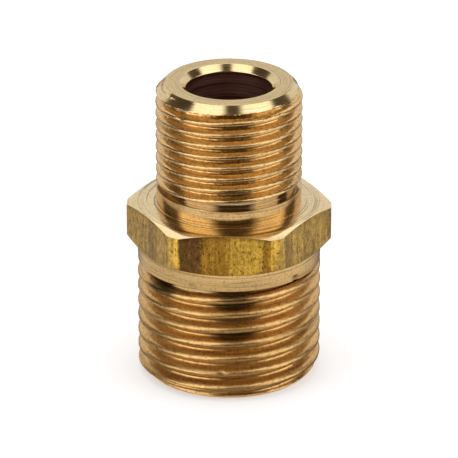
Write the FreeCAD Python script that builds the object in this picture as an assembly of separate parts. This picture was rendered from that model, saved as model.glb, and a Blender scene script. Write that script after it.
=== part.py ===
import FreeCAD, Part

import math
import os

# Hex reducing nipple, male G 3/8 to male G 1/2, turned and threaded from one length of hexagon brass bar.
# Millimetres. The origin is the centre of the larger end's face, +Z points to the smaller end,
# and one flat of the hexagon faces -Y.

# Parallel pipe threads: 19 turns per inch on the upper side, 14 on the lower, both with 55 degree flanks
UPPER_THREAD_DIAMETER = 16.662
UPPER_THREAD_PITCH = 1.3368
LOWER_THREAD_DIAMETER = 20.955
LOWER_THREAD_PITCH = 1.8143
FLANK_ANGLE = 55.0
CREST_SHARE = 1 / 6

# Lengths along the axis
UPPER_SIDE = 14.45
HEX_THICKNESS = 4.90
LOWER_SIDE = 15.60
NECK_LENGTH = 2.00
LAND_LENGTH = 1.95
UPPER_UNDERCUT_WIDTH = 0.85
LOWER_UNDERCUT_WIDTH = 0.90

# Diameters
BORE_DIAMETER = 9.76
NECK_DIAMETER = 16.54
LAND_DIAMETER = 20.90
UNDERCUT_CLEARANCE = 0.25

# Hexagon: flats as drawn, corners turned back, each end chamfered inwards from the corners
ACROSS_FLATS = 21.0
CORNER_DIAMETER = 23.36
UPPER_CHAMFER_WIDTH = 1.24
UPPER_CHAMFER_ANGLE = 20.0
LOWER_CHAMFER_WIDTH = 1.23
LOWER_CHAMFER_ANGLE = 30.0

# Ends
END_CHAMFER_WIDTH = 1.1
COUNTERSINK_WIDTH = 0.7

UP = FreeCAD.Vector(0, 0, 1)

lower_face = 0.0
hex_bottom = lower_face + LOWER_SIDE
hex_top = hex_bottom + HEX_THICKNESS
upper_face = hex_top + UPPER_SIDE


def thread_depth(pitch):
    """Depth from crest flat to root flat, with both flats the same share of the pitch."""
    return pitch * (1 - 2 * CREST_SHARE) / (2 * math.tan(math.radians(FLANK_ANGLE / 2)))


def revolve(outline):
    """A solid of revolution about Z from (radius, height) points."""
    points = [FreeCAD.Vector(r, 0, z) for r, z in outline + outline[:1]]
    return Part.Face(Part.makePolygon(points)).revolve(FreeCAD.Vector(0, 0, 0), UP, 360)


def threaded_side(diameter, end, shoulder):
    """One threaded side at its outside diameter, from its undercut to the chamfered open end."""
    away = 1 if end > shoulder else -1
    outer = diameter / 2
    return revolve([
        (0, shoulder),
        (outer, shoulder),
        (outer, end - away * END_CHAMFER_WIDTH),
        (outer - END_CHAMFER_WIDTH, end),
        (0, end),
    ])


def cone_height(width, slope_angle):
    """Height that a chamfer takes off the corners, from its width and its slope to the end face."""
    return width * math.tan(math.radians(slope_angle))


def hexagon():
    """The bar's hexagon between two turned cones and the turned cylinder of its corners."""
    corner = ACROSS_FLATS / 2 / math.cos(math.radians(30))
    points = [
        FreeCAD.Vector(corner * math.cos(math.radians(60 * i)), corner * math.sin(math.radians(60 * i)), hex_bottom)
        for i in range(7)
    ]
    bar = Part.Face(Part.makePolygon(points)).extrude(UP * HEX_THICKNESS)
    rim = CORNER_DIAMETER / 2
    envelope = revolve([
        (0, hex_bottom),
        (rim - LOWER_CHAMFER_WIDTH, hex_bottom),
        (rim, hex_bottom + cone_height(LOWER_CHAMFER_WIDTH, LOWER_CHAMFER_ANGLE)),
        (rim, hex_top - cone_height(UPPER_CHAMFER_WIDTH, UPPER_CHAMFER_ANGLE)),
        (rim - UPPER_CHAMFER_WIDTH, hex_top),
        (0, hex_top),
    ])
    return bar.common(envelope)


def plain_band(diameter, low, high):
    """A plain turned band of the body."""
    return Part.makeCylinder(diameter / 2, high - low, FreeCAD.Vector(0, 0, low))


def undercut_floor(diameter, pitch):
    """The undercut's diameter, clear of the thread's root."""
    return diameter - 2 * thread_depth(pitch) - UNDERCUT_CLEARANCE


def bore_space():
    """The drilled hole with a countersink at each end."""
    r = BORE_DIAMETER / 2
    return revolve([
        (0, lower_face),
        (r + COUNTERSINK_WIDTH, lower_face),
        (r, lower_face + COUNTERSINK_WIDTH),
        (r, upper_face - COUNTERSINK_WIDTH),
        (r + COUNTERSINK_WIDTH, upper_face),
        (0, upper_face),
    ])


def nipple_body():
    """The whole fitting, from the hexagon outwards to both ends."""
    neck_end = hex_top + NECK_LENGTH
    upper_start = neck_end + UPPER_UNDERCUT_WIDTH
    land_end = hex_bottom - LAND_LENGTH
    lower_start = land_end - LOWER_UNDERCUT_WIDTH
    pieces = [
        plain_band(NECK_DIAMETER, hex_top, neck_end),
        plain_band(undercut_floor(UPPER_THREAD_DIAMETER, UPPER_THREAD_PITCH), neck_end, upper_start),
        threaded_side(UPPER_THREAD_DIAMETER, upper_face, upper_start),
        plain_band(LAND_DIAMETER, land_end, hex_bottom),
        plain_band(undercut_floor(LOWER_THREAD_DIAMETER, LOWER_THREAD_PITCH), lower_start, land_end),
        threaded_side(LOWER_THREAD_DIAMETER, lower_face, lower_start),
    ]
    return hexagon().multiFuse(pieces).cut(bore_space())


def main():
    os.makedirs("parts", exist_ok=True)
    body = nipple_body()
    body.exportStep("parts/nipple_body.step")
    print("nipple_body", "valid", body.isValid(), "solids", len(body.Solids), "faces", len(body.Faces))
    print("volume", round(body.Volume, 2), "box", body.BoundBox)


main()
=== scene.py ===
# %% [markdown]
# # A reducing nipple in turned brass
# The object is one piece of brass: a hexagon of drawn bar with a small pipe thread above it and a
# large one below, bored right through. Nothing moves and nothing is fastened to it, so one skin
# stands for it here. The construction solid carries the threads as plain cylinders. This file
# cuts the real grooves, breaks the edges as a lathe tool does, and gives each surface its finish.
#
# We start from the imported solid, which fixes the place and the size of everything.

import bpy
import numpy as np
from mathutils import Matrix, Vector


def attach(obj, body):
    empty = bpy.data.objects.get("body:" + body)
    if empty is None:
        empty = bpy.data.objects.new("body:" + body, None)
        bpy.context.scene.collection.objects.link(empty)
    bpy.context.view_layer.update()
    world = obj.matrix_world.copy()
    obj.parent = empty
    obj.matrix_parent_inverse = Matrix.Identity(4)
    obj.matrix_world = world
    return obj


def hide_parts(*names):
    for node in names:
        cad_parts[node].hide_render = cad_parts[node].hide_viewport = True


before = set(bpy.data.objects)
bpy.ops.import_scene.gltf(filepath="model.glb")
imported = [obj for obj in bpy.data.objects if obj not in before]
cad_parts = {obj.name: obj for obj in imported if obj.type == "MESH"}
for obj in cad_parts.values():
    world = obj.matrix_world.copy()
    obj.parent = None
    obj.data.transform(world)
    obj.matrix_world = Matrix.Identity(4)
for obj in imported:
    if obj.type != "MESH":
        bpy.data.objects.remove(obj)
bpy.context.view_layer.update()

# %% [markdown]
# ## The sizes of the nipple
# Every length is in millimetres, as on a workshop drawing, and the mesh is scaled to metres once,
# at the end. Heights are counted from the face of the large end, which stands on the floor.

# %% Sizes on the drawing
MM = 0.001
TURN = 2 * np.pi
TOTAL_HEIGHT = 34.95
HEX_BOTTOM, HEX_TOP = 15.6, 20.5
NECK_TOP = 22.5
UPPER_THREAD_START = 23.35
LAND_BOTTOM = 13.65
LOWER_THREAD_START = 12.75
BORE_RADIUS = 4.88
COUNTERSINK = 0.7
UNDERCUT_CLEARANCE = 0.125
NECK_RADIUS, LAND_RADIUS = 8.27, 10.45
FLAT_DISTANCE, CORNER_RADIUS = 10.5, 11.68
UPPER_CHAMFER_START, LOWER_CHAMFER_START = 10.44, 10.45
UPPER_CHAMFER_SLOPE, LOWER_CHAMFER_SLOPE = np.tan(np.radians([20, 30]))
END_CHAMFER = 1.1
print("height, hexagon and bore in mm:", TOTAL_HEIGHT, HEX_TOP - HEX_BOTTOM, 2 * BORE_RADIUS)
upper_thread = {"radius": 8.331, "pitch": 25.4 / 19, "crest": 28.95, "crest_share": 0.20,
                "round_above": 0.31, "round_below": 0.20, "standard_depth": 0.856}
lower_thread = {"radius": 10.4775, "pitch": 25.4 / 14, "crest": 6.95, "crest_share": 0.25,
                "round_above": 0.40, "round_below": 0.25, "standard_depth": 1.162}

# %% [markdown]
# ## Columns round the axis
# The whole skin is one grid. Its columns stand at fixed angles round the bore, and its rows run
# from the small end's face down the outside and back up the bore. A column falls on each edge
# between a flat and a corner of the hexagon, so those six pairs of edges stay crisp, and one flat
# looks along -Y, towards the front.

# %% Angles of the columns
FLAT_STEPS, CORNER_STEPS = 31, 5
flat_half = np.arccos(FLAT_DISTANCE / CORNER_RADIUS)
across_flat = np.linspace(-flat_half, flat_half, FLAT_STEPS + 1)[:-1]
across_corner = np.linspace(flat_half, TURN / 6 - flat_half, CORNER_STEPS + 1)[:-1]
one_sixth = np.concatenate([across_flat, across_corner])
FRONT = -TURN / 4
angle = np.concatenate([FRONT + TURN / 6 * k + one_sixth for k in range(6)])
angle = np.append(angle, angle[0] + TURN)
from_flat = (angle - FRONT + TURN / 12) % (TURN / 6) - TURN / 12
hex_radius = np.minimum(FLAT_DISTANCE / np.cos(from_flat), CORNER_RADIUS)
print("columns:", len(angle) - 1)


# %% [markdown]
# ## Turned steps
# A turned step is an outline carried round the axis. No turned edge is a perfect corner: the tool
# or a touch of emery takes off a few hundredths, and that small curve is what catches the light.
# So each corner of an outline gives way to three points of a small curve, with one more point on each
# side that keeps the plain surface beyond it flat.

# %% Outlines with broken edges
SUPPORT = 1.8


def broken(corners, edge):
    """A (radius, height) outline with every inner corner broken: points SUPPORT and 1 times `edge`
    before the corner, one half-way between the middle of the cut and the corner, and two after it."""
    points = np.array(corners, float)
    here = points[1:-1]
    back, ahead = points[:-2] - here, points[2:] - here
    back = back / np.linalg.norm(back, axis=1, keepdims=True) * edge
    ahead = ahead / np.linalg.norm(ahead, axis=1, keepdims=True) * edge
    middle = here + (back + ahead) / 4
    inner = np.stack([here + SUPPORT * back, here + back, middle, here + ahead, here + SUPPORT * ahead],
                     axis=1)
    return np.vstack([points[:1], inner.reshape(-1, 2), points[-1:]])


def turned(outline, finish):
    """Rows of radii, heights and finishes for an outline carried round the axis: the same at every
    column. The finish is one for all rows, or a list with one for each row."""
    outline = np.asarray(outline)
    same = np.ones(len(angle))
    finish = np.broadcast_to(np.asarray(finish).reshape(-1, 1), (len(outline), len(angle)))
    return outline[:, :1] * same, outline[:, 1:] * same, finish


print("points for each broken corner:", len(broken([(0, 0), (1, 0), (1, 1)], 0.1)) - 2)


# %% [markdown]
# ## The pipe threads
# A pipe thread is one groove that climbs a pitch at each turn. Its flanks lean at 27.5 degrees to
# the radius, its root is a sixth of the pitch wide and its crest a little more, since it is worn
# round, most of all on the large thread. A stack of rings would look nearly right from afar, but
# the start of a real thread gives it away: the groove bites into the end chamfer and runs out into
# the undercut at a different height at each angle. So the rows here climb with the angle, and are
# cut off by the two ends.
#
# Four small faults make it look cut and not drawn: the tool shakes a little, it leaves a fine line
# beside the chamfer, the metal tears where the groove first bites, and the large thread's last turn
# runs on into the undercut on one side.

# %% A thread as a height field
ROOT_SHARE = 1 / 6
FLANK_SLOPE = np.tan(np.radians(27.5))
ROOT_ROUND = 0.3
TEAR_DEPTH, TEAR_REACH, TEAR_SEED = 0.10, 0.07, 7
LINE_DEPTH, LINE_WIDTH = 0.09, 0.07
CHATTER_DEPTH = 0.006
CHATTER_WAVES = ((13, 5.1), (29, -7.7), (47, 11.3))
ON_CONE = 0.01
TURNED, THREAD, DRAWN, BORED, FACED, BRIGHT, UNDERCUT, LARGE_THREAD, SHOULDER = range(9)
row_phases = np.array([0, 0.045, 0.08, 0.115, 0.155, 0.205, 0.28, 0.345, 0.39, 0.44, 0.5])
row_phases = np.concatenate([-row_phases[-2:0:-1], row_phases])


def flank_width(thread):
    """Height of one flank, in pitches."""
    return (1 - thread["crest_share"] - ROOT_SHARE) / 2


def groove_share(thread, phase):
    """How deep the groove is, from 0 on the crest to 1 at the root, at a phase counted in pitches from
    the middle of the crest. A straight flank joins the two flats, and a parabola rounds each end of
    it: over a share of the depth at the crest, more above it than below, and over ROOT_ROUND at the
    root."""
    from_crest = (phase + 0.5) % 1 - 0.5
    flank = (np.abs(from_crest) - thread["crest_share"] / 2) / flank_width(thread)
    share = np.clip(flank, 0, 1)
    crest_round = np.where(from_crest > 0, thread["round_above"], thread["round_below"])
    share = np.where(np.abs(flank) < crest_round, (flank + crest_round) ** 2 / (4 * crest_round), share)
    at_root = np.abs(flank - 1) < ROOT_ROUND
    return np.where(at_root, 1 - (1 + ROOT_ROUND - flank) ** 2 / (4 * ROOT_ROUND), share)


def torn_lip(gap):
    """How far the metal is torn back where the groove first bites into the end chamfer: a random depth
    at each column, greatest where the groove and the cone meet and fading within a tenth or so."""
    tears = np.random.default_rng(TEAR_SEED).random(len(angle)) ** 2
    tears[-1] = tears[0]
    return TEAR_DEPTH * tears[None, :] * np.exp(-(gap / TEAR_REACH) ** 2)


def chatter(height):
    """The unevenness that a shaking tool leaves: the sum of three sine waves that slant round the axis,
    each with a whole number of waves in a turn, so that the skin closes on itself."""
    waves = [1 + np.sin(in_turn * angle + slant * height) for in_turn, slant in CHATTER_WAVES]
    return CHATTER_DEPTH * sum(waves)


def tool_line(height, line_height):
    """Depth of the fine line that the tool left right round, a bell shape in height."""
    return LINE_DEPTH * np.exp(-((height - line_height) / LINE_WIDTH) ** 2)


def threaded(thread, low, high, cone, rim, line_height, level_rows, kind, chamfer_kind):
    """Rows of radii, heights and finishes for a threaded length between two heights. Height = row's
    phase in pitches + one pitch for each turn of angle, cut off at both ends, with `level_rows` added
    at heights of their own; radius = outside radius less the groove's depth there, never more than the
    end chamfer's cone, and never so little that the groove would break through the end face's rim."""
    pitch, outer = thread["pitch"], thread["radius"]
    depth = pitch * flank_width(thread) / FLANK_SLOPE
    climb = thread["crest"] + pitch * (angle - FRONT) / TURN
    first = np.floor((low - climb.max()) / pitch)
    turns = np.arange(first, np.ceil((np.max(high) - climb.min()) / pitch) + 1)
    rows = (turns[:, None] + row_phases[None, :]).ravel()
    height = climb[None, :] + pitch * rows[:, None]
    level = np.repeat(np.asarray(level_rows, float)[:, None], len(angle), axis=1)
    height = np.sort(np.clip(np.vstack([height, level]), low, high), axis=0)[::-1]
    share = groove_share(thread, (height - climb[None, :]) / pitch)
    groove = outer - depth * share - chatter(height)
    on_cone = cone(height)
    radius = np.minimum(groove, on_cone) - torn_lip(on_cone - groove) - tool_line(height, line_height)
    radius = np.maximum(radius, cone(rim) - np.abs(height - rim))
    finish = np.where(on_cone < groove + ON_CONE, chamfer_kind, kind)
    return radius, height, finish


def upper_cone(height):
    """The small end's 45 degree chamfer: the radius grows as fast as the depth below the face."""
    return upper_thread["radius"] - END_CHAMFER + (TOTAL_HEIGHT - height)


def lower_cone(height):
    """The large end's chamfer, likewise, above the floor."""
    return lower_thread["radius"] - END_CHAMFER + height


# %% Cut both threads
EDGE = 0.05
RUN_OUT, RUN_OUT_PLACE = 0.45, np.radians(62)
LINE_FROM_CHAMFER = 0.22
lower_run_out = RUN_OUT * np.clip(np.cos(angle - FRONT - RUN_OUT_PLACE), 0, 1)
top_rim, bottom_rim = TOTAL_HEIGHT - EDGE, EDGE
upper_line, lower_line = TOTAL_HEIGHT - END_CHAMFER - LINE_FROM_CHAMFER, END_CHAMFER + LINE_FROM_CHAMFER
line_rows = np.array([-0.14, -0.07, 0, 0.07, 0.14])
upper_rows = threaded(upper_thread, UPPER_THREAD_START, top_rim, upper_cone, top_rim, upper_line,
                      [TOTAL_HEIGHT - END_CHAMFER, TOTAL_HEIGHT - END_CHAMFER / 2, *(upper_line + line_rows)],
                      THREAD, BRIGHT)
lower_rows = threaded(lower_thread, bottom_rim, LOWER_THREAD_START + lower_run_out, lower_cone, bottom_rim,
                      lower_line,
                      [END_CHAMFER, END_CHAMFER / 2, *(lower_line + line_rows)], LARGE_THREAD, LARGE_THREAD)
print("thread rows:", len(upper_rows[0]), len(lower_rows[0]))


# %% [markdown]
# ## The hexagon
# The bar comes from the mill as a hexagon with flat sides. The lathe turns its corners back a
# little and takes a cone off each end, 20 degrees above and 30 below. Where a cone meets a flat it
# leaves the curved edge that every nut has. Cutting a hexagon with cones would work too, but
# nothing needs to be cut here: at each column the cone's height at the bar's own radius is known,
# so the rows simply bend to that curve.

# %% Chamfers and flats of the hexagon
FLAT_ROWS, HEX_EDGE = 8, 0.03
SET_IN, SET_DOWN = 0.21 * HEX_EDGE, 0.07 * HEX_EDGE
LOWER_CONE_SHARE = 0.6


def hexagon_rows():
    """Rows over the hexagon: the upper cone from its start out to the bar's radius at that angle, a
    broken edge, the flat down to where the lower cone meets it, a broken edge, and the lower cone."""
    upper = HEX_TOP - (hex_radius - UPPER_CHAMFER_START) * UPPER_CHAMFER_SLOPE
    lower = HEX_BOTTOM + (hex_radius - LOWER_CHAMFER_START) * LOWER_CHAMFER_SLOPE
    start_up = np.full_like(angle, UPPER_CHAMFER_START)
    start_low = np.full_like(angle, LOWER_CHAMFER_START)
    rows = [
        (start_up, np.full_like(angle, HEX_TOP)),
        ((start_up + hex_radius) / 2, (HEX_TOP + upper) / 2),
        (hex_radius - HEX_EDGE, upper + HEX_EDGE * UPPER_CHAMFER_SLOPE),
        (hex_radius - SET_IN, upper - SET_DOWN),
        (hex_radius, upper - HEX_EDGE),
    ]
    for share in np.linspace(0, 1, FLAT_ROWS + 1)[1:-1]:
        rows.append((hex_radius, upper - HEX_EDGE + (lower - upper + 2 * HEX_EDGE) * share))
    on_lower_cone = start_low + LOWER_CONE_SHARE * (hex_radius - start_low)
    rows += [
        (hex_radius, lower + HEX_EDGE),
        (hex_radius - SET_IN, lower + SET_DOWN),
        (np.minimum(hex_radius - HEX_EDGE, on_lower_cone), lower - HEX_EDGE * 0.5),
        (start_low, np.full_like(angle, HEX_BOTTOM)),
    ]
    radius, height = np.array([r for r, _ in rows]), np.array([z for _, z in rows])
    finish = np.full(radius.shape, DRAWN)
    finish[:4] = finish[-3:] = BRIGHT
    return radius, height, finish


hex_rows = hexagon_rows()
print("hexagon rows:", len(hex_rows[0]))

# %% [markdown]
# ## The plain turned parts
# These are the small end's face, the neck and the shoulder below its undercut, the land under the
# hexagon with its faint step, and the large end's face with the bore. Each is an outline carried
# round the axis. The bore is only drilled, so its wall is the one surface with no fine finish.

# %% Outlines of the plain parts
BORE_LEAD = 0.3
UNDERCUT_STEP = 0.1
END_EDGE = EDGE * 0.7
upper_floor = upper_thread["radius"] - upper_thread["standard_depth"] - UNDERCUT_CLEARANCE
lower_floor = lower_thread["radius"] - lower_thread["standard_depth"] - UNDERCUT_CLEARANCE
small_end = broken([
    (BORE_RADIUS, TOTAL_HEIGHT - COUNTERSINK - BORE_LEAD),
    (BORE_RADIUS, TOTAL_HEIGHT - COUNTERSINK),
    (BORE_RADIUS + COUNTERSINK, TOTAL_HEIGHT),
    (upper_cone(TOTAL_HEIGHT), TOTAL_HEIGHT),
    (upper_cone(top_rim), top_rim),
], END_EDGE)
neck = broken([
    (upper_floor + UNDERCUT_STEP, UPPER_THREAD_START),
    (upper_floor, UPPER_THREAD_START),
    (upper_floor, NECK_TOP),
    (NECK_RADIUS, NECK_TOP),
    (NECK_RADIUS, HEX_TOP),
    (UPPER_CHAMFER_START, HEX_TOP),
], EDGE)
WALL_ROWS, WALL_PLACE = 6, 16
neck_wall = np.linspace(NECK_TOP - 0.15, HEX_TOP + 0.2, WALL_ROWS)
neck_wall = np.column_stack([np.full(WALL_ROWS, NECK_RADIUS), neck_wall])
neck = np.vstack([neck[:WALL_PLACE], neck_wall, neck[WALL_PLACE:]])
LAND_LINE, LAND_STEP = 14.4, 0.025
land = np.vstack([[(LAND_RADIUS, HEX_BOTTOM), (LAND_RADIUS, LAND_LINE + LAND_STEP)], broken([
    (LAND_RADIUS - LAND_STEP, LAND_LINE),
    (LAND_RADIUS - LAND_STEP, LAND_BOTTOM),
    (lower_floor, LAND_BOTTOM),
    (lower_floor, LOWER_THREAD_START),
    (lower_floor + UNDERCUT_STEP, LOWER_THREAD_START),
], EDGE)])
large_end = broken([
    (lower_cone(bottom_rim), bottom_rim),
    (lower_cone(0), 0),
    (BORE_RADIUS + COUNTERSINK, 0),
    (BORE_RADIUS, COUNTERSINK),
    (BORE_RADIUS, COUNTERSINK + BORE_LEAD),
], END_EDGE)
BORE_ROWS = 13
bore_heights = np.linspace(COUNTERSINK + BORE_LEAD, TOTAL_HEIGHT - COUNTERSINK - BORE_LEAD, BORE_ROWS)
bore = np.column_stack([np.full(BORE_ROWS, BORE_RADIUS), bore_heights])
print("corners of the neck's outline:", len(neck))


# %% [markdown]
# ## One closed skin
# The rows of all the parts, stacked in order, make one sheet that closes on itself both round the
# axis and through the bore, like a ring. The last column lies on the first, one pitch up in the
# threads, and points that fall together are welded there. Then every edge must have exactly two
# faces, and the volume must come out positive, which says that the faces look outwards.

# %% Stack, weld and check
WELD_GRID = 1e4


def stacked(parts):
    """One list of triangles for a stack of grids: each grid cell is two triangles, takes the finish of
    its upper left point, and points closer than a ten-thousandth of a millimetre become one."""
    points, cells, finishes, start = [], [], [], 0
    for radius, height, finish in parts:
        n, m = radius.shape
        place = np.stack([radius * np.cos(angle), radius * np.sin(angle), height], axis=-1)
        points.append(place.reshape(-1, 3))
        corner = start + np.arange((n - 1) * m).reshape(n - 1, m)[:, :-1].ravel()
        a, b, c, d = corner, corner + m, corner + m + 1, corner + 1
        cells.append(np.concatenate([np.stack([a, b, c], axis=1), np.stack([a, c, d], axis=1)]))
        finishes.append(np.tile(finish[:-1, :-1].ravel(), 2))
        start += n * m
    points, cells = np.concatenate(points), np.concatenate(cells)
    _, first, welded = np.unique(np.round(points * WELD_GRID).astype(np.int64), axis=0,
                                 return_index=True, return_inverse=True)
    cells = welded.ravel()[cells]
    real = (cells[:, 0] != cells[:, 1]) & (cells[:, 1] != cells[:, 2]) & (cells[:, 2] != cells[:, 0])
    return points[first], cells[real], np.concatenate(finishes)[real]


def report_closed(points, cells):
    """Prints how many edges lack a second face, and the volume as the sum of the tetrahedra that
    each triangle makes with the origin."""
    edges = np.sort(np.concatenate([cells[:, [0, 1]], cells[:, [1, 2]], cells[:, [2, 0]]]), axis=1)
    _, count = np.unique(edges, axis=0, return_counts=True)
    a, b, c = points[cells[:, 0]], points[cells[:, 1]], points[cells[:, 2]]
    volume = np.einsum("ij,ij->i", a, np.cross(b, c)).sum() / 6
    print("triangles", len(cells), "open edges", int((count != 2).sum()), "volume mm3", round(volume, 1))


def joined(upper, lower):
    """The two rows that bridge the last row of one part and the first row of the next."""
    return tuple(np.stack([a[-1], b[0]]) for a, b in zip(upper, lower))


def finish_by_step(outline, *steps):
    """The finish of each row of an outline, from pairs of (last row of the step, finish)."""
    finish, start = np.empty(len(outline), int), 0
    for end, kind in steps:
        finish[start:end], start = kind, end
    return finish


small_end_rows = turned(small_end, finish_by_step(small_end, (8, BRIGHT), (len(small_end), FACED)))
neck_rows = turned(neck, finish_by_step(neck, (13, UNDERCUT), (24, TURNED), (len(neck), SHOULDER)))
land_rows = turned(land, finish_by_step(land, (6, TURNED), (len(land), UNDERCUT)))
above_thread = (LAND_BOTTOM - land_rows[1]) / (LAND_BOTTOM - LOWER_THREAD_START)
land_rows = (land_rows[0], land_rows[1] + lower_run_out * np.clip(above_thread, 0, 1), land_rows[2])
large_end_rows = turned(large_end, FACED)
bore_rows = turned(bore, BORED)
points, cells, finishes = stacked([
    small_end_rows, upper_rows, joined(upper_rows, neck_rows), neck_rows, hex_rows, land_rows,
    joined(land_rows, lower_rows), lower_rows, large_end_rows, bore_rows,
])

# %% [markdown]
# ## Knocks and pits
# A fitting that has lain in a box with others has small dents, most on its crests and edges. Each is
# a soft push towards the axis, and moving the points of the skin keeps it closed, where a cut with
# another solid might not. They are few and all in front, as far as the photo shows any.

# %% Knocks and pits
# X, height, reach and depth of each in millimetres, on the front half of a turned surface
NICKS = np.array([
    (-5.6, 10.45, 0.22, 0.10), (-0.3, 3.5, 0.22, 0.14), (7.85, 13.72, 0.2, 0.26), (-3.6, 13.72, 0.15, 0.12),
    (-2.9, 13.2, 0.2, 0.12), (-2.3, 24.5, 0.22, 0.18), (-2.7, 22.52, 0.14, 0.05), (4.9, 33.3, 0.3, 0.16),
    (-5.2, 33.1, 0.35, 0.16), (6.1, 32.9, 0.3, 0.14), (3.2, 5.9, 0.2, 0.08), (-7.4, 7.2, 0.22, 0.08),
])
FRONT_OF, OUTSIDE_OF = -3, BORE_RADIUS + 1


def knocked(points):
    """Points moved towards the axis near each knock: depth times a bell of the distance in X and Z."""
    radius = np.hypot(points[:, 0], points[:, 1])
    away = ((points[:, :1] - NICKS[:, 0]) ** 2 + (points[:, 2:] - NICKS[:, 1]) ** 2) / NICKS[:, 2] ** 2
    push = (NICKS[:, 3] * np.exp(-away)).sum(axis=1) * (points[:, 1] < FRONT_OF) * (radius > OUTSIDE_OF)
    return np.column_stack([points[:, :2] * (1 - push / radius)[:, None], points[:, 2]])


points = knocked(points)
report_closed(points, cells)


# %% [markdown]
# ## From arrays to a mesh
# The arrays go into Blender in one go, which takes a moment where adding faces one by one would take
# minutes. Faces are shaded smooth, so that the turned surfaces look round, but an edge sharper than
# SHARP_ANGLE stays an edge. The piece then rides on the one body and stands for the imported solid.

# %% Put the skin into a mesh
SHARP_ANGLE = 34


def skin_object(name, points, cells, finishes):
    """A mesh object at the origin from triangles in millimetres, smooth but for its sharp edges."""
    mesh = bpy.data.meshes.new(name)
    mesh.vertices.add(len(points))
    mesh.vertices.foreach_set("co", (points * MM).astype(np.float32).ravel())
    mesh.loops.add(len(cells) * 3)
    mesh.loops.foreach_set("vertex_index", cells.astype(np.int32).ravel())
    mesh.polygons.add(len(cells))
    mesh.polygons.foreach_set("loop_start", np.arange(0, len(cells) * 3, 3, dtype=np.int32))
    mesh.polygons.foreach_set("material_index", finishes.astype(np.int32))
    mesh.update(calc_edges=True)
    mesh.polygons.foreach_set("use_smooth", np.ones(len(cells), dtype=bool))
    mesh.set_sharp_from_angle(angle=np.radians(SHARP_ANGLE))
    mesh.validate()
    piece = bpy.data.objects.new(name, mesh)
    bpy.context.scene.collection.objects.link(piece)
    return piece


nipple = skin_object("turned_nipple", points, cells, finishes)
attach(nipple, "root")
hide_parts("nipple_body")
print("faces in the mesh:", len(nipple.data.polygons))


# %% [markdown]
# ## The finishes
# All of it is the same brass, and only the tool that made a surface sets its look. Faced and turned
# surfaces carry fine rings round the axis. The threads are a warmer colour, since light bounces
# from flank to flank before it comes out. A ring pattern could be painted as an image, but a noise
# read at (distance from the axis, height) makes rings at any size and has no seam.

# %% Helpers for node materials
PER_METRE = 1000
RING_SPIN = 0.02


def new_finish(name):
    """An empty node material with a metallic shader; returns the material, its nodes, links and shader."""
    material = bpy.data.materials.new(name)
    material.use_nodes = True
    nodes, links = material.node_tree.nodes, material.node_tree.links
    nodes.clear()
    output = nodes.new("ShaderNodeOutputMaterial")
    shader = nodes.new("ShaderNodeBsdfPrincipled")
    shader.inputs["Metallic"].default_value = 1.0
    links.new(shader.outputs["BSDF"], output.inputs["Surface"])
    return material, nodes, links, shader


def scaled(nodes, links, value, factor):
    """A value times a plain number."""
    node = nodes.new("ShaderNodeMath")
    node.operation = "MULTIPLY"
    node.inputs[1].default_value = factor
    links.new(value, node.inputs[0])
    return node.outputs[0]


def ring_place(nodes, links):
    """A texture place whose first two parts are distance from the axis and height, in millimetres, and
    whose third follows the angle only a little, so that a noise read there makes rings."""
    place = nodes.new("ShaderNodeTexCoord").outputs["Object"]
    split = nodes.new("ShaderNodeSeparateXYZ")
    links.new(place, split.inputs[0])
    flat = nodes.new("ShaderNodeCombineXYZ")
    links.new(split.outputs["X"], flat.inputs["X"])
    links.new(split.outputs["Y"], flat.inputs["Y"])
    radius = nodes.new("ShaderNodeVectorMath")
    radius.operation = "LENGTH"
    links.new(flat.outputs[0], radius.inputs[0])
    lean = nodes.new("ShaderNodeMath")
    lean.operation = "ADD"
    links.new(scaled(nodes, links, split.outputs["X"], PER_METRE * RING_SPIN), lean.inputs[0])
    links.new(scaled(nodes, links, split.outputs["Y"], PER_METRE * RING_SPIN), lean.inputs[1])
    rings = nodes.new("ShaderNodeCombineXYZ")
    links.new(scaled(nodes, links, radius.outputs["Value"], PER_METRE), rings.inputs["X"])
    links.new(scaled(nodes, links, split.outputs["Z"], PER_METRE), rings.inputs["Y"])
    links.new(lean.outputs[0], rings.inputs["Z"])
    return rings.outputs[0]


def noise(nodes, links, place, scale, detail=3.0, roughness=0.6):
    """A noise between 0 and 1 read at a place."""
    texture = nodes.new("ShaderNodeTexNoise")
    texture.inputs["Scale"].default_value = scale
    texture.inputs["Detail"].default_value = detail
    texture.inputs["Roughness"].default_value = roughness
    links.new(place, texture.inputs["Vector"])
    return texture.outputs["Fac"]


def ramp(nodes, links, value, stops):
    """A colour for each value, blended between stops of (value, colour)."""
    node = nodes.new("ShaderNodeValToRGB")
    while len(node.color_ramp.elements) < len(stops):
        node.color_ramp.elements.new(0.5)
    for element, (at, colour) in zip(node.color_ramp.elements, stops):
        element.position = at
        element.color = (*colour, 1.0)
    links.new(value, node.inputs["Fac"])
    return node.outputs["Color"]


def spread(nodes, links, value, low, high, from_low=0.3, from_high=0.7):
    """A value moved from one range to another, kept within the new one."""
    node = nodes.new("ShaderNodeMapRange")
    node.inputs["From Min"].default_value = from_low
    node.inputs["From Max"].default_value = from_high
    node.inputs["To Min"].default_value = low
    node.inputs["To Max"].default_value = high
    links.new(value, node.inputs["Value"])
    return node.outputs["Result"]


def bump(nodes, links, shader, height, distance):
    """Relief on a shader from a height between 0 and 1 and a depth in millimetres."""
    node = nodes.new("ShaderNodeBump")
    node.inputs["Distance"].default_value = distance * MM
    links.new(height, node.inputs["Height"])
    links.new(node.outputs["Normal"], shader.inputs["Normal"])


def darkened(nodes, links, colour, factor):
    """A colour times a plain value."""
    node = nodes.new("ShaderNodeVectorMath")
    node.operation = "SCALE"
    links.new(colour, node.inputs[0])
    links.new(factor, node.inputs["Scale"])
    return node.outputs["Vector"]


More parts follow.
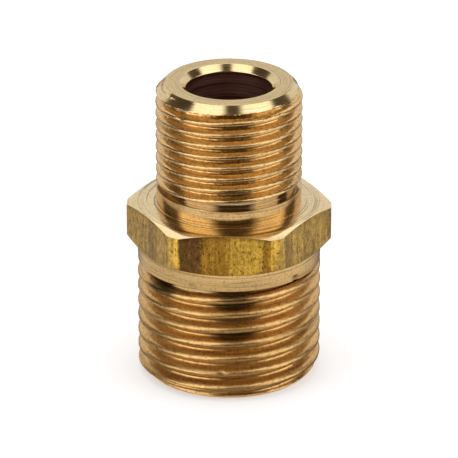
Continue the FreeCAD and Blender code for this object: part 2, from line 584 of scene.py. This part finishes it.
def sized(nodes, links, place, scale):
    """A place with each part times its own scale, so that noise can be stretched."""
    node = nodes.new("ShaderNodeMapping")
    node.inputs["Scale"].default_value = scale
    links.new(place, node.inputs["Vector"])
    return node.outputs[0]


# %% A painted shade spot and a cut finish
def painted_shade_spot(nodes, links, place, middle, reach, dark):
    """Painted shade on the front, standing in for shade and dark reflections in grooves and recesses: 1
    outside an ellipse in X and Z about `middle` with half-axes `reach`, all in millimetres, falling
    smoothly to `dark` at its middle. Y counts too, so the back stays clear."""
    moved = nodes.new("ShaderNodeMapping")
    moved.inputs["Location"].default_value = (-middle[0] / reach[0], 1, -middle[1] / reach[1])
    moved.inputs["Scale"].default_value = (1 / (reach[0] * MM), 1 / (LAND_RADIUS * MM), 1 / (reach[1] * MM))
    links.new(place, moved.inputs["Vector"])
    away = nodes.new("ShaderNodeVectorMath")
    away.operation = "LENGTH"
    links.new(moved.outputs[0], away.inputs[0])
    return spread(nodes, links, away.outputs["Value"], dark, 1.0, 0.55, 1.0)


def cut_brass(name, colours, rough, ring_depth, ring_scale, lines=0.0, specks=0.0, painted_shade_spots=()):
    """Brass as a tool leaves it: two colours mixed by fine rings, roughness between two values by
    coarser rings, and rings as relief. Some rings are darkened by `lines`, small spots by `specks`."""
    material, nodes, links, shader = new_finish(name)
    place = ring_place(nodes, links)
    fine = noise(nodes, links, place, ring_scale)
    broad = noise(nodes, links, place, ring_scale * 0.2, detail=2.0)
    colour = ramp(nodes, links, fine, [(0.3, colours[0]), (0.7, colours[1])])
    scratch = noise(nodes, links, place, ring_scale * 0.55, detail=1.0)
    colour = darkened(nodes, links, colour, spread(nodes, links, scratch, 1 - lines, 1.0, 0.36, 0.42))
    object_place = nodes.new("ShaderNodeTexCoord").outputs["Object"]
    grain_place = sized(nodes, links, object_place, (PER_METRE, PER_METRE, PER_METRE))
    spot = noise(nodes, links, grain_place, 3.2, detail=5.0, roughness=0.7)
    colour = darkened(nodes, links, colour, spread(nodes, links, spot, 1.0, 1 - specks, 0.5, 0.68))
    # Painted shade: each spot darkens the colour where grooves and undercuts show shade and dark reflections
    for middle, reach, dark in painted_shade_spots:
        colour = darkened(nodes, links, colour, painted_shade_spot(nodes, links, object_place, middle, reach, dark))
    links.new(colour, shader.inputs["Base Color"])
    links.new(spread(nodes, links, broad, *rough), shader.inputs["Roughness"])
    bump(nodes, links, shader, fine, ring_depth)
    return material


# %% Faced, turned, threaded and bored brass
# Painted shade and painted dark reflection in the grooves and undercuts, on the front half: (X, height)
# # of the middle, (half width, half height), and how dark
UPPER_PAINTED_SHADE = [((1.05, 24.7), (2.8, 0.42), 0.3), ((-6.3, 24.4), (1.6, 0.5), 0.3)]
LOWER_PAINTED_SHADE = [
    ((1.0, 11.5), (3.4, 0.55), 0.3), ((1.0, 7.75), (3.4, 0.55), 0.3), ((1.2, 9.65), (3.0, 0.4), 0.65),
    ((-7.5, 12.3), (2.1, 0.8), 0.25), ((1.1, 12.6), (2.4, 0.45), 0.45),
]
# Painted shade in the lower undercut, a recess that the thread below shades
UNDERCUT_PAINTED_SHADE = [
    ((-7.5, 13.0), (2.1, 1.0), 0.3), ((1.1, 12.9), (2.4, 0.6), 0.5), ((7.6, 13.1), (0.9, 0.6), 0.45),
]
# Each finish: two colours, two roughnesses, ring depth and scale, dark lines, specks and painted shade spots
faced = cut_brass(
    "faced_brass", ((0.58, 0.41, 0.18), (0.75, 0.55, 0.26)), (0.16, 0.28), 0.006, 9.0, 0.35, 0.3)
bright = cut_brass(
    "bright_cut_brass", ((0.76, 0.57, 0.28), (0.90, 0.71, 0.40)), (0.09, 0.17), 0.004, 7.0, 0.15, 0.2)
turned_brass = cut_brass(
    "turned_brass", ((0.69, 0.44, 0.17), (0.80, 0.525, 0.23)), (0.13, 0.21), 0.005, 7.0, 0.35, 0.35)
small_thread = cut_brass(
    "small_thread_brass", ((0.72, 0.465, 0.19), (0.85, 0.555, 0.24)), (0.19, 0.3), 0.006, 6.0, 0.25, 0.5,
    UPPER_PAINTED_SHADE)
large_thread = cut_brass(
    "large_thread_brass", ((0.69, 0.41, 0.15), (0.81, 0.50, 0.19)), (0.25, 0.38), 0.008, 5.0, 0.3, 0.55,
    LOWER_PAINTED_SHADE)
shoulder = cut_brass(
    "shoulder_brass", ((0.70, 0.52, 0.27), (0.88, 0.68, 0.38)), (0.14, 0.24), 0.007, 8.0, 0.5, 0.3)
undercut = cut_brass(
    "undercut_brass", ((0.58, 0.42, 0.23), (0.70, 0.52, 0.30)), (0.06, 0.12), 0.004, 6.0, 0.2, 0.3,
    UNDERCUT_PAINTED_SHADE)
bored = cut_brass(
    "bored_brass", ((0.32, 0.15, 0.12), (0.72, 0.45, 0.38)), (0.28, 0.42), 0.018, 3.5, 0.6)
print("cut finishes: 8, stains:", len(UPPER_PAINTED_SHADE) + len(LOWER_PAINTED_SHADE) + len(UNDERCUT_PAINTED_SHADE))


# %% [markdown]
# ## The drawn flats
# The flats keep the skin that the drawing die gave the bar: streaks along it, bands of tarnish,
# mottling and small pits. On the front flat the bands are set one by one, since a tarnish mark lies
# where it lies and no noise would put it there. The other flats take theirs from a noise that is
# stretched along the bar.

# %% Drawn bar
TAN_BRASS, CLEAN_BRASS = (0.60, 0.38, 0.095), (0.88, 0.52, 0.083)
DULL_BRASS, TARNISHED_BRASS = (0.55, 0.28, 0.04), (0.21, 0.105, 0.03)
# Across the front flat: X in millimetres from the middle, and the brass there
FRONT_BANDS = [
    (-6.5, TAN_BRASS), (-5.2, CLEAN_BRASS), (-4.95, TARNISHED_BRASS), (-2.9, TARNISHED_BRASS),
    (-2.5, DULL_BRASS), (0.35, DULL_BRASS), (0.85, CLEAN_BRASS), (4.0, CLEAN_BRASS),
    (4.35, DULL_BRASS), (5.2, DULL_BRASS), (5.4, CLEAN_BRASS), (6.5, TAN_BRASS),
]
# Noise sways the bands by a share of their whole width, and they fade in between two values of Y, so
# that only the front flat has them
BAND_REACH, BAND_SWAY, FRONT_FLAT = 6.55, 0.035, (-9.6, -9.2)


def along_bar(nodes, links, place, stretch):
    """The place in millimetres, but with `stretch` per metre along the bar, so that noise makes streaks."""
    return sized(nodes, links, place, (PER_METRE, PER_METRE, stretch))


def drawn_brass():
    """Brass as the drawing die leaves it. Across the front flat the tarnish changes in bands, set by X and
    swayed a little by noise, and elsewhere bands of duller tan come from a broad noise. Mottling,
    streaks along the bar and pits darken both."""
    material, nodes, links, shader = new_finish("drawn_brass")
    place = nodes.new("ShaderNodeTexCoord").outputs["Object"]
    split = nodes.new("ShaderNodeSeparateXYZ")
    links.new(place, split.inputs[0])
    sway = noise(nodes, links, along_bar(nodes, links, place, 60), 1.3)
    across = spread(nodes, links, split.outputs["X"], 0.0, 1.0, -BAND_REACH * MM, BAND_REACH * MM)
    swayed = nodes.new("ShaderNodeMath")
    swayed.operation = "ADD"
    links.new(across, swayed.inputs[0])
    links.new(spread(nodes, links, sway, -BAND_SWAY, BAND_SWAY), swayed.inputs[1])
    stops = [((x + BAND_REACH) / (2 * BAND_REACH), colour) for x, colour in FRONT_BANDS]
    front = ramp(nodes, links, swayed.outputs[0], stops)
    broad = noise(nodes, links, along_bar(nodes, links, place, 90), 0.45, detail=3.0)
    others = ramp(nodes, links, broad, [
        (0.36, (0.36, 0.21, 0.05)), (0.5, (0.56, 0.345, 0.08)), (0.66, (0.64, 0.395, 0.085)),
    ])
    both = nodes.new("ShaderNodeMix")
    both.data_type = "RGBA"
    front_start, front_end = MM * np.array(FRONT_FLAT)
    links.new(spread(nodes, links, split.outputs["Y"], 1.0, 0.0, front_start, front_end), both.inputs[0])
    links.new(others, both.inputs[6])
    links.new(front, both.inputs[7])
    mottle = noise(nodes, links, along_bar(nodes, links, place, 700), 1.9, detail=6.0, roughness=0.75)
    streak = noise(nodes, links, along_bar(nodes, links, place, 90), 2.2, detail=4.0)
    pit = noise(nodes, links, along_bar(nodes, links, place, 600), 5.5, detail=3.0)
    colour = darkened(nodes, links, both.outputs[2], spread(nodes, links, mottle, 0.6, 1.26, 0.36, 0.62))
    colour = darkened(nodes, links, colour, spread(nodes, links, streak, 0.75, 1.14, 0.35, 0.6))
    colour = darkened(nodes, links, colour, spread(nodes, links, pit, 1.0, 0.2, 0.58, 0.65))
    links.new(colour, shader.inputs["Base Color"])
    links.new(spread(nodes, links, mottle, 0.42, 0.27), shader.inputs["Roughness"])
    bump(nodes, links, shader, mottle, 0.03)
    return material


# In the order of the finish numbers TURNED, THREAD, DRAWN, BORED, FACED, BRIGHT, UNDERCUT and so on
for material in (turned_brass, small_thread, drawn_brass(), bored, faced, bright, undercut, large_thread,
                 shoulder):
    nipple.data.materials.append(material)
print("finishes:", [m.name for m in nipple.data.materials])


# %% [markdown]
# ## The floor and the white room
# The floor and the world look white to the camera and in the metal, but give the object only plain
# light. Light Path tells the rays apart, so that the floor can be white and still hold a shadow.

# %% The floor and the white room
def white_where_seen(nodes, links):
    """1 for rays from the camera and for rays from metal or glass, which see the room as white."""
    path = nodes.new("ShaderNodeLightPath")
    first = nodes.new("ShaderNodeMath")
    first.operation = "MAXIMUM"
    links.new(path.outputs["Is Camera Ray"], first.inputs[0])
    links.new(path.outputs["Is Glossy Ray"], first.inputs[1])
    second = nodes.new("ShaderNodeMath")
    second.operation = "MAXIMUM"
    links.new(first.outputs[0], second.inputs[0])
    links.new(path.outputs["Is Transmission Ray"], second.inputs[1])
    return second.outputs[0]


world = bpy.data.worlds.new("white_room")
bpy.context.scene.world = world
world.use_nodes = True
room, room_links = world.node_tree.nodes, world.node_tree.links
background = room["Background"]
background.inputs["Color"].default_value = (1, 1, 1, 1)
ROOM_LIGHT, ROOM_SEEN = 0.75, 1.0
room_strength = spread(room, room_links, white_where_seen(room, room_links), ROOM_LIGHT, ROOM_SEEN, 0.0, 1.0)
room_links.new(room_strength, background.inputs["Strength"])
world.cycles.sampling_method = "NONE"

FLOOR_HALF, FLOOR_COLOUR, FLOOR_GLOW = 1.5, 0.85, 0.35
floor_mesh = bpy.data.meshes.new("floor")
floor_corners = [(x * FLOOR_HALF, y * FLOOR_HALF, 0) for x, y in ((-1, -1), (1, -1), (1, 1), (-1, 1))]
floor_mesh.from_pydata(floor_corners, [], [(0, 1, 2, 3)])
floor = bpy.data.objects.new("floor", floor_mesh)
bpy.context.scene.collection.objects.link(floor)
floor_material = bpy.data.materials.new("pale_floor")
floor_material.use_nodes = True
floor_nodes, floor_links = floor_material.node_tree.nodes, floor_material.node_tree.links
floor_shader = floor_nodes["Principled BSDF"]
floor_shader.inputs["Base Color"].default_value = (FLOOR_COLOUR, FLOOR_COLOUR, FLOOR_COLOUR, 1)
floor_shader.inputs["Roughness"].default_value = 0.9
floor_shader.inputs["Specular IOR Level"].default_value = 0.0
floor_shader.inputs["Emission Color"].default_value = (1, 1, 1, 1)
glow = spread(floor_nodes, floor_links, white_where_seen(floor_nodes, floor_links), 0.0, FLOOR_GLOW, 0.0, 1.0)
floor_links.new(glow, floor_shader.inputs["Emission Strength"])
floor.data.materials.append(floor_material)
print("floor side in metres:", 2 * FLOOR_HALF)


# %% [markdown]
# ## Soft lights
# Three large, weak lamps light the object from the left, the right and above. They are as soft as a
# photographer's boxes, and so weak that a colour renders about as it is written.

# %% Soft lights
LAMP_DISTANCE, LAMP_SIZE, LAMP_POWER, LAMP_TARGET = 1.0, 0.6, 1.2, (0, 0, 0.017)


def around(bearing, height_angle, distance):
    """A place at a bearing in degrees from the front towards the right, an elevation and a distance."""
    b, e = np.radians(bearing), np.radians(height_angle)
    return (distance * np.sin(b) * np.cos(e), -distance * np.cos(b) * np.cos(e), distance * np.sin(e))


def soft_light(name, bearing, height_angle):
    """A square area light at a bearing and an elevation, turned towards the object."""
    light = bpy.data.lights.new(name, "AREA")
    light.shape = "SQUARE"
    light.size = LAMP_SIZE
    light.energy = LAMP_POWER
    lamp = bpy.data.objects.new(name, light)
    lamp.location = around(bearing, height_angle, LAMP_DISTANCE)
    lamp.rotation_euler = (Vector(LAMP_TARGET) - lamp.location).to_track_quat("-Z", "Y").to_euler()
    bpy.context.scene.collection.objects.link(lamp)
    print(name, [round(v, 3) for v in lamp.location])


soft_light("left_softbox", -60, 40)
soft_light("right_softbox", 74, 40)
soft_light("top_softbox", 180, 80)


# %% [markdown]
# ## The tent that the metal reflects
# A bright metal has no colour to show but that of the room it stands in. The photograph was taken in
# a white tent, with a soft box on each side of the camera and dark gaps between them, and those gaps
# are the dark bands down the neck and the threads. Upright surfaces, seen from above, reflect what
# they stand on, so a mat lies on the floor too. Cards could be hung up one by one, but here the tent
# is one dome and the mat one disc, and a formula gives each point's brightness. Only reflections
# show them: the camera, the floor and the shadows don't. Dim parts are a little warmer than bright
# ones, as the brass lights them.

# %% Brightness of the tent and of the mat
def between(value, low, high, soft):
    """1 inside a range and 0 outside it, with a straight fade of `soft` centred on each end."""
    return np.clip((value - low) / soft + 0.5, 0, 1) * np.clip((high - value) / soft + 0.5, 0, 1)


# Bearings in degrees from the front towards the right, and brightness of each part of the tent. The
# front gap has a bearing low down and a change from there to high up on each side
BOX_LEFT, BOX_RIGHT, GAP_LEFT_END, GAP_RIGHT_END = -81, 99, -123, 128
FRONT_GAP_LEFT, FRONT_GAP_RIGHT = (-21, 11), (45, -8)
BOX_FADE, GAP_FADE = 18, 6
FRONT_GAP_VALUE, SIDE_GAP_VALUE, OVERHEAD_VALUE = 0.09, 0.12, 1.15
LEFT_BOX_SHARE, RIGHT_BOX_SHARE = 1.0, 0.8
BOX_LOW, BOX_HIGH, BOX_TOP = 0.75, 0.25, 36


def tent_glow(bearing, elevation):
    """Brightness of the tent at a bearing and an elevation in degrees. Two soft boxes stand beside the
    camera, with a dark gap in front of it, which narrows upwards, and a dark gap beyond each box.
    Behind the object the tent is plain and brighter higher up, and overhead it is even."""
    narrowing = np.clip((elevation - 25) / 40, 0, 1)
    gap_left, gap_right = [low + change * narrowing for low, change in (FRONT_GAP_LEFT, FRONT_GAP_RIGHT)]
    box = LEFT_BOX_SHARE * between(bearing, BOX_LEFT, gap_left, BOX_FADE)
    box = box + RIGHT_BOX_SHARE * between(bearing, gap_right, BOX_RIGHT, BOX_FADE)
    front = between(bearing, gap_left, gap_right, BOX_FADE)
    side = between(bearing, GAP_LEFT_END, BOX_LEFT, GAP_FADE)
    side = side + between(bearing, BOX_RIGHT, GAP_RIGHT_END, GAP_FADE)
    plain = 0.84 + 0.45 * np.clip((elevation - 30) / 14, 0, 1)
    side_value = SIDE_GAP_VALUE - 0.06 * np.clip((elevation - 30) / 15, 0, 1)
    cloth = plain + box * np.where(elevation < BOX_TOP, BOX_LOW, BOX_HIGH)
    glow = cloth * (1 - front - side) + FRONT_GAP_VALUE * front + side_value * side
    overhead = np.clip((elevation - 76) / 8, 0, 1)
    return glow * (1 - overhead) + OVERHEAD_VALUE * overhead


# Reach from the axis in millimetres and brightness of the mat, in front and at the sides
MAT_FRONT = np.array([
    (10, 0.18), (12.5, 0.30), (20, 0.42), (30, 0.48), (40, 0.6), (46, 1.0), (50, 1.4), (56, 1.4),
    (60, 0.95), (750, 0.95),
])
MAT_SIDE = np.array([(10, 0.16), (12.5, 0.28), (20, 0.44), (30, 0.78), (45, 0.92), (60, 0.92), (750, 0.85)])
# How bright the sides are at these bearings, nearer than NEAR_END and beyond it
MAT_BEARINGS = [0, 1, 90, 112]
NEAR_FACTORS, FAR_FACTORS, NEAR_END = [0.80, 0.80, 0.72, 0.62], [0.85, 0.92, 0.88, 0.74], 0.038
# Strips of the mat: bearings or reaches in metres, fade, and the reach where they start or their gain
LIT_RING, LIT_FADE, LIT_GAIN = (0.039, 0.052), 0.004, 0.25
SIDE_SHADES, SIDE_FADE, SIDE_FROM, SIDE_LOSS = ((-119, -73), (104, 124)), 6, 0.055, 0.45
CAMERA_SIDE, CAMERA_FADE, CAMERA_FROM, CAMERA_SIDE_VALUE = (-34, 42), 14, 0.062, 0.07
BACK_LOSS = 0.58


def mat_glow(bearing, reach):
    """Brightness of the mat at a bearing and a distance from the axis in metres. It is dim close to the
    object, which shades it, and brighter further out, and most in a ring on the right, but dark far
    out in front, where the camera stands, and a little dark on each side and behind."""
    front = np.clip((75 - np.abs(bearing - 4)) / 50, 0, 1)
    back = np.clip((np.abs(bearing) - 115) / 30, 0, 1)
    in_front = np.interp(reach, MM * MAT_FRONT[:, 0], MAT_FRONT[:, 1])
    beside = np.interp(reach, MM * MAT_SIDE[:, 0], MAT_SIDE[:, 1])
    near = np.interp(bearing, MAT_BEARINGS, NEAR_FACTORS)
    far = np.interp(bearing, MAT_BEARINGS, FAR_FACTORS)
    lit = between(reach, *LIT_RING, LIT_FADE) * np.clip(bearing / 40, 0, 1)
    beside = beside * np.where(reach < NEAR_END, near, far) * (1 + LIT_GAIN * lit)
    glow = in_front * front + beside * (1 - front) * (1 - BACK_LOSS * back)
    side = sum(between(bearing, *shade, SIDE_FADE) for shade in SIDE_SHADES) * (reach > SIDE_FROM)
    camera_side = between(bearing, *CAMERA_SIDE, CAMERA_FADE) * (reach > CAMERA_FROM)
    return glow * (1 - camera_side) * (1 - SIDE_LOSS * side) + CAMERA_SIDE_VALUE * camera_side


# %% Build the tent and the mat
def tent_part(name, reach, height, bearing, glow):
    """A stage mesh on a grid of bearings and rows that glows by its own attribute, and shows only in
    what the metal reflects. Row's reach and height give the ring; the bearing goes round it."""
    turn = np.radians(bearing)
    place = np.stack([reach * np.sin(turn), -reach * np.cos(turn), height + 0 * turn], axis=-1)
    n, m = place.shape[:2]
    corner = np.arange((n - 1) * m).reshape(n - 1, m)[:, :-1].ravel()
    quads = np.stack([corner, corner + 1, corner + m + 1, corner + m], axis=1)
    mesh = bpy.data.meshes.new(name)
    mesh.from_pydata(place.reshape(-1, 3).tolist(), [], quads.tolist())
    mesh.attributes.new("glow", "FLOAT", "POINT").data.foreach_set("value", glow.ravel().astype(np.float32))
    part = bpy.data.objects.new(name, mesh)
    mesh.materials.append(tent_material)
    part.visible_camera = part.visible_diffuse = part.visible_shadow = False
    bpy.context.scene.collection.objects.link(part)
    print(name, "points:", n * m, "brightest:", round(float(glow.max()), 2))


DIM_COLOUR, WHITE_FROM = (1.0, 0.74, 0.5), 0.7
tent_material = bpy.data.materials.new("tent_cloth")
tent_material.use_nodes = True
tent_nodes, tent_links = tent_material.node_tree.nodes, tent_material.node_tree.links
tent_nodes.clear()
tent_output = tent_nodes.new("ShaderNodeOutputMaterial")
tent_light = tent_nodes.new("ShaderNodeEmission")
glow_attribute = tent_nodes.new("ShaderNodeAttribute")
glow_attribute.attribute_name = "glow"
glow_value = glow_attribute.outputs["Fac"]
tent_colour = ramp(tent_nodes, tent_links, glow_value, [(0.0, DIM_COLOUR), (WHITE_FROM, (1, 1, 1))])
tent_links.new(glow_value, tent_light.inputs["Strength"])
tent_links.new(tent_colour, tent_light.inputs["Color"])
tent_links.new(tent_light.outputs[0], tent_output.inputs["Surface"])
tent_material.cycles.emission_sampling = "NONE"

TENT_RADIUS, MAT_HEIGHT = 0.75, 0.0003
bearings = np.linspace(-180, 180, 361)[None, :]
lifts = np.linspace(0, 90, 91)[:, None]
tent_part("tent", TENT_RADIUS * np.cos(np.radians(lifts)), TENT_RADIUS * np.sin(np.radians(lifts)),
          bearings, tent_glow(bearings, lifts))
MAT_RINGS = [10, 12.5, 16, 20, 25, 30, 35, 40, 46, 50, 55, 56, 60.5, 63.5, 100, 750]
mat_reach = MM * np.array(MAT_RINGS)[:, None]
tent_part("mat", mat_reach, np.full_like(mat_reach, MAT_HEIGHT), bearings, mat_glow(bearings, mat_reach))

# %% [markdown]
# ## The camera
# It looks down on the object a little from the right, through a long lens, so that the two ends keep
# nearly the same scale. It is aimed at the middle of the object's height and isn't shifted, so that
# the object stays in the frame from every other side too.

# %% Camera
CAMERA_BEARING, CAMERA_ELEVATION, CAMERA_DISTANCE = 2.6, 23.5, 0.4635
AIM_HEIGHT, LENS, SENSOR_WIDTH, CLIP_START = 0.01685, 318.8, 36.0, 0.01
aim = Vector((0, 0, AIM_HEIGHT))
camera_data = bpy.data.cameras.new("camera")
camera_data.lens = LENS
camera_data.sensor_width = SENSOR_WIDTH
camera_data.clip_start = CLIP_START
camera = bpy.data.objects.new("camera", camera_data)
camera.location = aim + Vector(around(CAMERA_BEARING, CAMERA_ELEVATION, CAMERA_DISTANCE))
camera.rotation_euler = (aim - camera.location).to_track_quat("-Z", "Y").to_euler()
bpy.context.scene.collection.objects.link(camera)
bpy.context.scene.camera = camera
bpy.context.scene.view_settings.view_transform = "Standard"
print("camera at", [round(v, 4) for v in camera.location])
